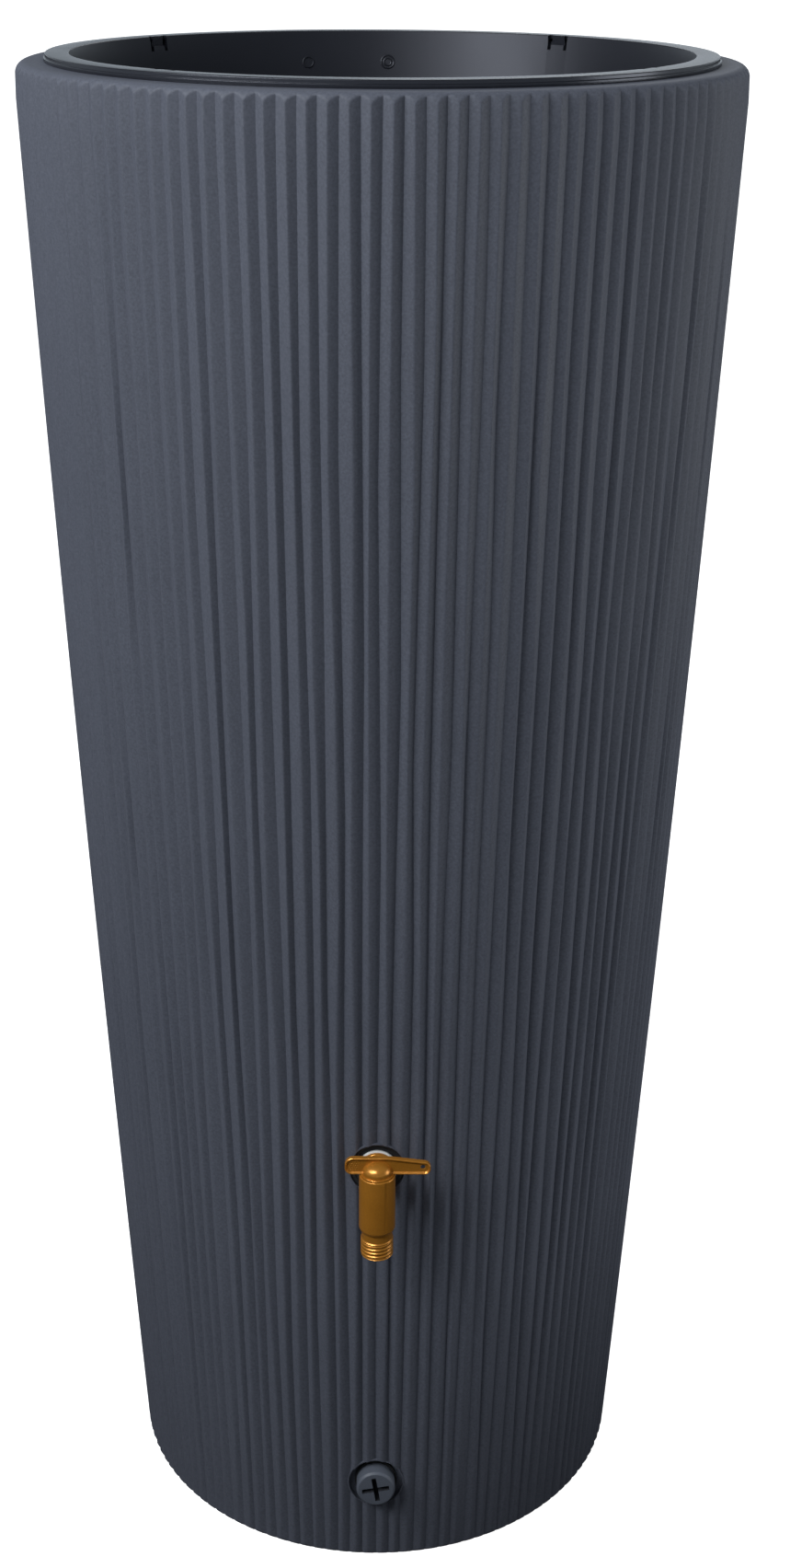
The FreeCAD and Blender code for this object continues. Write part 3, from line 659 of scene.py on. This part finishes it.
bowl = build_bowl()
for latch in range(LATCH_COUNT):
    around = Matrix.Rotation(LATCH_START + latch * 2 * math.pi / LATCH_COUNT, 4, "Z")
    for middle, half, deep, start, end in latch_cuts():
        low = (middle - half, -INNER_RADIUS - deep, BOWL_TOP - end)
        high = (middle + half, -CUT_REACH, BOWL_TOP - start)
        combine(bowl, box_cutter(low, high, around), "DIFFERENCE")
for hole in range(WEEP_HOLES):
    angle = LATCH_START + math.pi / 2 + hole * 2 * math.pi / WEEP_HOLES
    centre = Matrix.Translation((WEEP_RING * math.cos(angle), WEEP_RING * math.sin(angle), BOWL_FOOT))
    outline = [(0, -WEEP_CUT), (WEEP_RADIUS, -WEEP_CUT), (WEEP_RADIUS, WEEP_CUT), (0, WEEP_CUT)]
    combine(bowl, turned("cutter", outline, 32, centre), "DIFFERENCE")
smooth(bowl)

BOWL_BLACK, BOWL_CLOUD = (0.0064, 0.0068, 0.0098), (0.0093, 0.0099, 0.0138)
BOWL_SHEEN = (0.87, 0.89, 1.0)
black_plastic = moulded(
    "black bowl plastic", BOWL_BLACK, BOWL_CLOUD, (0.38, 0.48), 0.0001,
    speckle=0.3, speckle_scale=600.0, cloud_scale=9.0, specular=0.42, sheen=BOWL_SHEEN,
)
smooth_rim = moulded(
    "smooth black rim", BOWL_BLACK, BOWL_CLOUD, (0.22, 0.30), 0.00005,
    speckle=0.3, speckle_scale=600.0, cloud_scale=9.0, specular=0.5, sheen=BOWL_SHEEN,
)
dress(bowl, black_plastic, "planter")
bowl.data.materials.append(smooth_rim)
for face in bowl.data.polygons:
    if face.center.z > BOWL_TOP - RIM_BAND and math.hypot(*face.center.xy) > INNER_RADIUS + RIM_EDGE:
        face.material_index = 1
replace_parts(bowl, "planter_bowl")


def ring_mark(name, angle, drop, radius, wire):
    """A thin raised ring on the bowl's inside wall, left by the mould."""
    reach = INNER_RADIUS - INSIDE_FALL * (drop / INSIDE_DEPTH)
    wire_angles = np.linspace(0, 2 * math.pi, 9)[:-1]
    section = [(radius + wire * math.cos(a), wire * math.sin(a)) for a in wire_angles]
    lean = math.atan(INSIDE_FALL / INSIDE_DEPTH)
    place = (
        Matrix.Rotation(angle, 4, "Z")
        @ Matrix.Translation((0, -reach, BOWL_TOP - drop))
        @ Matrix.Rotation(math.pi / 2 + lean, 4, "X")
    )
    return smooth(turned(name, section, 48, place))


MARK_DROP, MARK_WIRE = 0.0285, 0.0009
marks = (("mark_single", 196, 0.0048), ("mark_outer", 179, 0.0059), ("mark_inner", 179, 0.0034))
for name, degrees, radius in marks:
    mark = ring_mark(name, math.radians(degrees), MARK_DROP, radius, MARK_WIRE)
    dress(mark, black_plastic, "planter")

# ---------------------------------------------------------------------------
# Tap: washers
# A black rubber gasket fills the seat and a white nylon washer sits between it and the tap's flange. Inside
# the wall a second gasket and a black hexagon nut pull the tap tight.
# ---------------------------------------------------------------------------

gasket_low, gasket_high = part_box("tap_outer_gasket")
spacer_low, spacer_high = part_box("tap_spacer_washer")
GASKET_FRONT, GASKET_RADIUS = -gasket_low.y, gasket_high.x
SPACER_FRONT, SPACER_RADIUS = -spacer_low.y, spacer_high.x
WASHER_BORE, BEAD_TOP, BEAD_FOOT, BEAD_HEIGHT, RING_GAP = 0.0133, 0.0028, 0.0034, 0.0009, 0.0008


def build_gasket():
    """A flat ring with a raised bead round its edge and a shallow groove round the washer."""
    front = GASKET_FRONT - TAP_SEAT
    corners = [
        (WASHER_BORE, 0),
        (GASKET_RADIUS, 0, 0.0005),
        (GASKET_RADIUS, front, 0.0008),
        (GASKET_RADIUS - BEAD_TOP, front, 0.0006),
        (GASKET_RADIUS - BEAD_FOOT, front - BEAD_HEIGHT, 0.0004),
        (SPACER_RADIUS + RING_GAP, front - BEAD_HEIGHT, 0.0004),
        (SPACER_RADIUS, front, 0.0003),
        (WASHER_BORE, front),
    ]
    section = rounded(corners, closed=True)
    return turned("outer_gasket", section, ROUND_STEPS, facing(TAP_SEAT, TAP_HEIGHT))


def build_spacer():
    front = SPACER_FRONT - GASKET_FRONT
    corners = [
        (WASHER_BORE, 0),
        (SPACER_RADIUS, 0, 0.0005),
        (SPACER_RADIUS, front, 0.0007),
        (WASHER_BORE, front, 0.0003),
    ]
    section = rounded(corners, closed=True)
    return turned("white_washer", section, ROUND_STEPS, facing(GASKET_FRONT, TAP_HEIGHT))


rubber = moulded(
    "black rubber", (0.011, 0.011, 0.012), (0.017, 0.017, 0.018), (0.62, 0.78), 0.0002, speckle=0.3
)
white_nylon = moulded(
    "white nylon", (0.72, 0.72, 0.69), (0.80, 0.80, 0.78), (0.38, 0.5), 0.0001, speckle=0.05
)
nut_nylon = moulded(
    "black nylon", (0.022, 0.022, 0.024), (0.03, 0.03, 0.033), (0.4, 0.52), 0.0002, speckle=0.2
)
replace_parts(dress(smooth(build_gasket()), rubber, "tank"), "tap_outer_gasket")
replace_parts(dress(smooth(build_spacer()), white_nylon, "tank"), "tap_spacer_washer")
finish_node("tap_inner_gasket", rubber)
finish_node("tap_lock_nut", nut_nylon)

# ---------------------------------------------------------------------------
# Tap: body
# One moulding in brass-coloured plastic: an upright barrel with a seam down its side, a threaded outlet
# below, and a stub with a flange and a threaded shank that goes through the wall.
# ---------------------------------------------------------------------------

body_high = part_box("tap_body")[1]
BARREL_OUT, BARREL_RADIUS = 0.285, 0.0146
BARREL_TOP, BARREL_FOOT, OUTLET_FOOT = body_high.z, 0.3675, 0.3450
THREAD_RADIUS, OUTLET_BORE, BARREL_BORE = 0.0131, 0.0090, 0.0100
ROTOR_SEAT, CLIP_HEIGHT, CLIP_GROOVE, CLIP_GROOVE_WIDTH = 0.370, 0.40905, 0.01095, 0.0013
SHANK_START, SHANK_BORE, STUB_RADIUS = -body_high.y, 0.0080, 0.0105
TAP_FLANGE_RADIUS, TAP_FLANGE_FRONT = 0.0150, 0.2491
OUTLET_PITCH, OUTLET_THREAD_DEPTH, OUTLET_THREAD_LENGTH = 0.0031, 0.0007, 0.0143
FINE_PITCH, FINE_THREAD_DEPTH, FINE_THREAD_START = 0.001814, 0.0011, 0.001
SEAM_ANGLE, SEAM_DEPTH, THREAD_STEPS = math.radians(297), 0.0003, 128
CREST_SLACK = 1e-6


def standing(out):
    """Place for a piece that stands upright, out metres in front of the tank's axis."""
    return Matrix.Translation((0, -out, 0))


def thread(bottom, top, pitch, depth, crest):
    """Changes a radius at the crest into a right-handed thread between two heights, faded at its ends."""
    flat, flank = 0.25, 0.6

    def shaped(radius, height, angle):
        if radius < crest - CREST_SLACK or not bottom <= height <= top:
            return radius
        turn = (height / pitch - angle / (2 * math.pi)) % 1.0
        groove = min(max((abs(2 * turn - 1) - flat) / flank, 0.0), 1.0)
        groove = groove * groove * (3 - 2 * groove)
        fade = min(1.0, (height - bottom) / (0.5 * pitch), (top - height) / (0.5 * pitch))
        return radius - depth * groove * fade

    return shaped


def build_tap_body():
    chamfer = 0.0006
    thread_top = OUTLET_FOOT + OUTLET_THREAD_LENGTH
    neck = THREAD_RADIUS - OUTLET_THREAD_DEPTH
    mouth = [
        (OUTLET_BORE, ROTOR_SEAT),
        (OUTLET_BORE, OUTLET_FOOT, 0.0006),
        (THREAD_RADIUS - chamfer, OUTLET_FOOT),
    ]
    ladder = [(THREAD_RADIUS, z) for z in np.linspace(OUTLET_FOOT + chamfer, thread_top, 84)]
    barrel = [
        *rounded(mouth),
        *ladder,
        *rounded(
            [
                (THREAD_RADIUS, thread_top),
                (neck, thread_top + 0.0008, 0.0003),
                (neck, BARREL_FOOT - 0.0006, 0.0005),
                (BARREL_RADIUS - 0.0009, BARREL_FOOT, 0.0004),
                (BARREL_RADIUS, BARREL_FOOT + 0.0022, 0.0012),
                (BARREL_RADIUS, BARREL_TOP, 0.0008),
                (BARREL_BORE + 0.0004, BARREL_TOP, 0.0003),
                (BARREL_BORE, BARREL_TOP - 0.0006),
            ]
        )[1:],
        (BARREL_BORE, CLIP_HEIGHT + CLIP_GROOVE_WIDTH),
        (CLIP_GROOVE, CLIP_HEIGHT + CLIP_GROOVE_WIDTH),
        (CLIP_GROOVE, CLIP_HEIGHT),
        (BARREL_BORE, CLIP_HEIGHT),
        (BARREL_BORE, ROTOR_SEAT),
    ]
    outlet_thread = thread(OUTLET_FOOT, thread_top, OUTLET_PITCH, OUTLET_THREAD_DEPTH, THREAD_RADIUS)

    def threaded_and_seamed(radius, height, angle):
        if radius > BARREL_RADIUS - CREST_SLACK and abs(angle - SEAM_ANGLE) < math.pi / THREAD_STEPS:
            return radius - SEAM_DEPTH
        return outlet_thread(radius, height, angle)

    body = turned("tap_casting", barrel, THREAD_STEPS, standing(BARREL_OUT), threaded_and_seamed)

    reach = SPACER_FRONT - SHANK_START
    shank_end = reach - 0.0012
    stub_end = BARREL_OUT - SHANK_START - 0.0104
    shank = [(0, 0.0), (THREAD_RADIUS - FINE_THREAD_START, 0.0)]
    shank += [(THREAD_RADIUS, z) for z in np.linspace(FINE_THREAD_START, shank_end, 110)]
    shank += rounded(
        [
            (THREAD_RADIUS, reach),
            (TAP_FLANGE_RADIUS, reach, 0.0004),
            (TAP_FLANGE_RADIUS, TAP_FLANGE_FRONT - SHANK_START, 0.0008),
            (STUB_RADIUS, TAP_FLANGE_FRONT - SHANK_START, 0.0012),
            (STUB_RADIUS, stub_end),
            (0, stub_end),
        ]
    )
    fine_thread = thread(FINE_THREAD_START, shank_end, FINE_PITCH, FINE_THREAD_DEPTH, THREAD_RADIUS)
    through_wall = facing(SHANK_START, TAP_HEIGHT)
    combine(body, turned("shank", shank, THREAD_STEPS, through_wall, fine_thread), "UNION")
    bore_start, bore_end = -0.01, BARREL_OUT - SHANK_START - 0.004
    bore = [(0, bore_start), (SHANK_BORE, bore_start), (SHANK_BORE, bore_end), (0, bore_end)]
    combine(body, turned("bore", bore, 64, through_wall), "DIFFERENCE")
    return smooth(body, degrees=38)


brass_plastic = moulded(
    "brass-coloured plastic", (0.32, 0.128, 0.013), (0.40, 0.162, 0.020), (0.25, 0.34), 0.00012,
    metallic=0.55, speckle=0.25, speckle_scale=700.0, cloud_scale=40.0, grain_scale=1500.0,
)
tap_body = dress(build_tap_body(), brass_plastic, "tank")
tap_light.light_linking.receiver_collection.objects.link(tap_body)
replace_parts(tap_body, "tap_body")

# ---------------------------------------------------------------------------
# Tap: rotor and its seals
# A hollow black acetal plug turns in the barrel between two rubber rings and is held down by a steel
# spring ring. They hide inside the barrel.
# ---------------------------------------------------------------------------

acetal = moulded(
    "black acetal", (0.02, 0.02, 0.021), (0.03, 0.03, 0.031), (0.25, 0.35), 0.0001, speckle=0.1
)
spring_steel = moulded(
    "spring steel", (0.42, 0.42, 0.43), (0.55, 0.55, 0.56), (0.25, 0.38), 0.0001, metallic=1.0, speckle=0.1
)
finish_node("tap_plug", acetal)
for name in ("tap_lower_oring", "tap_upper_oring"):
    finish_node(name, rubber)
finish_node("tap_retaining_ring", spring_steel)

# ---------------------------------------------------------------------------
# Tap: handle
# A domed hub with a wing across it, in the same brass-coloured plastic. The wing is a thin web inside a
# raised rim; its short arm carries fine grip dots and its long arm a hole.
# ---------------------------------------------------------------------------

handle_low, handle_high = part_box("tap_handle")
WING_LEFT, WING_RIGHT = handle_low.x, handle_high.x
WING_BOTTOM, WING_TOP, WING_TIP_TOP = 0.4166, 0.4308, 0.4268
WING_HALF, WEB_HALF, WING_RIM = 0.0022, 0.0008, 0.0014
DOME_RADIUS, DOME_FOOT, DOME_TOP = 0.0120, handle_low.z, 0.4273
HUB_LIP, HUB_LIP_HEIGHT, HUB_LIP_EDGE, HUB_SKIRT = 0.0133, 0.0009, 0.0002, 0.0025
WING_HOLE, HOLE_FROM_TIP, HOLE_FROM_TOP = 0.002, 0.0062, 0.0042
SOCKET_HALF, SOCKET_FOOT, SOCKET_TOP = 0.00405, 0.40, 0.4243
DOT_ROWS, DOT_SPACING, DOT_RADIUS, DOTS_FROM_TIP, DOTS_FROM_FOOT = 5, 0.0018, 0.0004, 0.0032, 0.0035


def wing_outline(inset):
    """The wing's edge seen from the front, taken in by inset, always with the same number of points."""
    left, right = WING_LEFT + inset, WING_RIGHT - inset
    low, high, tip = WING_BOTTOM + inset, WING_TOP - inset, WING_TIP_TOP - inset
    corners = [
        (left, low, 0.0056 - inset),
        (right, low, 0.0048 - inset),
        (right, tip, 0.0050 - inset),
        (DOME_RADIUS * 0.8, high, 0.03),
        (left, high, 0.0066 - inset),
    ]
    return rounded(corners, steps=12, closed=True)


def build_wing():
    edge = 0.00035
    loops = []
    for side in (1, -1):
        depths = [
            (WING_RIM + edge, WEB_HALF),
            (WING_RIM, WEB_HALF + edge),
            (WING_RIM, WING_HALF - edge),
            (WING_RIM - edge, WING_HALF),
            (edge, WING_HALF),
            (0.0, WING_HALF - edge),
        ]
        loops += [(inset, depth * side) for inset, depth in (depths if side == 1 else depths[::-1])]
    points, faces = [], []
    for inset, depth in loops:
        points += [(x, -BARREL_OUT - depth, z) for x, z in wing_outline(inset)]
    count = len(points) // len(loops)
    for loop in range(len(loops) - 1):
        for index in range(count):
            after = (index + 1) % count
            low, high = loop * count, (loop + 1) * count
            faces.append((low + index, low + after, high + after, high + index))
    faces.append(tuple(range(count)))
    faces.append(tuple(range(len(points) - count, len(points))))
    return add_piece("wing", points, faces)


def build_handle():
    handle = build_wing()
    skirt = DOME_FOOT + HUB_SKIRT
    rise = DOME_TOP - skirt
    dome_angles = np.linspace(0, math.pi / 2, 20)[1:-1]
    outline = [
        (0, DOME_FOOT),
        (HUB_LIP - HUB_LIP_EDGE, DOME_FOOT),
        (HUB_LIP, DOME_FOOT + HUB_LIP_EDGE),
        (HUB_LIP, DOME_FOOT + HUB_LIP_HEIGHT - HUB_LIP_EDGE),
        (HUB_LIP - HUB_LIP_EDGE, DOME_FOOT + HUB_LIP_HEIGHT),
        (DOME_RADIUS, DOME_FOOT + HUB_LIP_HEIGHT),
        (DOME_RADIUS, skirt),
        *((DOME_RADIUS * math.cos(a), skirt + rise * math.sin(a)) for a in dome_angles),
        (0, DOME_TOP),
    ]
    combine(handle, turned("dome", outline, ROUND_STEPS, standing(BARREL_OUT)), "UNION")
    behind, length = 0.01, 0.02
    outline = [(0, 0), (WING_HOLE, 0), (WING_HOLE, length), (0, length)]
    place = facing(BARREL_OUT - behind, WING_TIP_TOP - HOLE_FROM_TOP)
    aside = Matrix.Translation((WING_RIGHT - HOLE_FROM_TIP, 0, 0))
    combine(handle, turned("hole", outline, 48, aside @ place), "DIFFERENCE")
    low, high = (-SOCKET_HALF, -SOCKET_HALF, SOCKET_FOOT), (SOCKET_HALF, SOCKET_HALF, SOCKET_TOP)
    combine(handle, box_cutter(low, high, standing(BARREL_OUT)), "DIFFERENCE")
    return smooth(handle, degrees=35)


def build_grip_dots():
    """Rows of tiny domes on the front and back of the short arm."""
    shape = bmesh.new()
    for column in range(DOT_ROWS):
        for row in range(DOT_ROWS):
            x = WING_LEFT + DOTS_FROM_TIP + column * DOT_SPACING + (row % 2) * DOT_SPACING / 2
            z = WING_BOTTOM + DOTS_FROM_FOOT + row * DOT_SPACING
            for side in (1, -1):
                place = Matrix.Translation((x, -BARREL_OUT - side * WEB_HALF, z))
                bmesh.ops.create_icosphere(shape, subdivisions=2, radius=DOT_RADIUS, matrix=place)
    mesh = bpy.data.meshes.new("grip_dots")
    shape.to_mesh(mesh)
    shape.free()
    return smooth(add_object("grip_dots", mesh), degrees=60)


handle = dress(build_handle(), brass_plastic, "tap_rotor")
dots = dress(build_grip_dots(), brass_plastic, "tap_rotor")
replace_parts(handle, "tap_handle")
for piece in (handle, dots):
    tap_light.light_linking.receiver_collection.objects.link(piece)

# ---------------------------------------------------------------------------
# Drain plug
# A slate plastic plug with a chamfered head and a cross slot, screwed into a brass bush in the wall over a
# rubber washer. Its hollow shank carries a real thread.
# ---------------------------------------------------------------------------

plug_low, plug_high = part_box("drain_plug")
PLUG_BACK, PLUG_FRONT, PLUG_HEAD_RADIUS = -plug_high.y, -plug_low.y, plug_high.x
SEAL_FRONT = -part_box("drain_plug_seal")[0].y
PLUG_SHANK, PLUG_BORE, PLUG_TURNED = 0.01295, 0.0090, math.radians(10)
PLUG_THREAD_START, PLUG_THREAD_STOP = 0.0008, 0.001
SLOT_DEPTH, SLOT_HALF_WIDTH, SLOT_HALF_LENGTH, CROSS_HALF_LENGTH = 0.009, 0.0020, 0.0118, 0.0112
# The last three give the depth range and radius of the faces inside the cross slot that get painted shade.
CROSS_DEEPER, SLOT_SHADE_START, SLOT_SHADE_END, SLOT_SHADE_RADIUS = 0.0003, 0.0002, 0.0097, 0.0125


def build_plug():
    head, front = SEAL_FRONT - PLUG_BACK, PLUG_FRONT - PLUG_BACK
    thread_end, bore_edge, chamfer = head - PLUG_THREAD_STOP, 0.0004, 0.0016
    outline = [
        (0, head),
        (PLUG_BORE, head),
        (PLUG_BORE, bore_edge),
        (PLUG_BORE + bore_edge, 0),
        (PLUG_SHANK - PLUG_THREAD_START, 0),
    ]
    outline += [(PLUG_SHANK, z) for z in np.linspace(PLUG_THREAD_START, thread_end, 80)]
    outline += rounded(
        [
            (PLUG_SHANK, head),
            (PLUG_HEAD_RADIUS, head, 0.0005),
            (PLUG_HEAD_RADIUS, front - 0.0017, 0.0006),
            (PLUG_HEAD_RADIUS - chamfer, front, 0.0007),
            (0, front),
        ]
    )
    cut = thread(PLUG_THREAD_START, thread_end, FINE_PITCH, FINE_THREAD_DEPTH, PLUG_SHANK)
    place = facing(PLUG_BACK, DRAIN_HEIGHT)
    plug = turned("drain_plug_skin", outline, THREAD_STEPS, place, cut)
    spin = place @ Matrix.Rotation(PLUG_TURNED, 4, "Z")
    level_foot, proud = front - SLOT_DEPTH, front + 0.01
    slots = (
        (SLOT_HALF_LENGTH, SLOT_HALF_WIDTH, level_foot),
        (SLOT_HALF_WIDTH, CROSS_HALF_LENGTH, level_foot - CROSS_DEEPER),
    )
    for across, up, foot in slots:
        combine(plug, box_cutter((-across, -up, foot), (across, up, proud), spin), "DIFFERENCE")
    return smooth(plug, degrees=35)


def paint_slot_shade(plug, slot_shade_finish):
    """Give the inside of the cross slot the second finish: painted shade, a dark colour that stands for the
    shadow deep in the slot.
    """
    plug.data.materials.append(slot_shade_finish)
    for face in plug.data.polygons:
        deep = face.center.y + PLUG_FRONT
        away = math.hypot(face.center.x, face.center.z - DRAIN_HEIGHT)
        if SLOT_SHADE_START < deep < SLOT_SHADE_END and away < SLOT_SHADE_RADIUS:
            face.material_index = 1


plug_plastic = moulded(
    "plug plastic", (0.090, 0.101, 0.126), (0.102, 0.114, 0.141), (0.46, 0.58), 0.0002, speckle=0.3
)
turned_brass = moulded(
    "turned brass", (0.58, 0.40, 0.15), (0.66, 0.47, 0.19), (0.25, 0.36), 0.0001, metallic=1.0, speckle=0.08
)
# Painted shade: a near-black copy of the plug plastic that stands for the shadow inside the deep cross
# slot.
slot_shade_plastic = moulded(
    "plug plastic with painted slot shade", (0.010, 0.011, 0.015), (0.018, 0.020, 0.026), (0.7, 0.85), 0.0002, speckle=0.3
)
drain_plug = dress(build_plug(), plug_plastic, "plug")
# The faces inside the cross slot get the painted shade finish.
paint_slot_shade(drain_plug, slot_shade_plastic)
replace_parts(drain_plug, "drain_plug")
finish_node("drain_plug_seal", rubber)
finish_node("drain_insert", turned_brass)
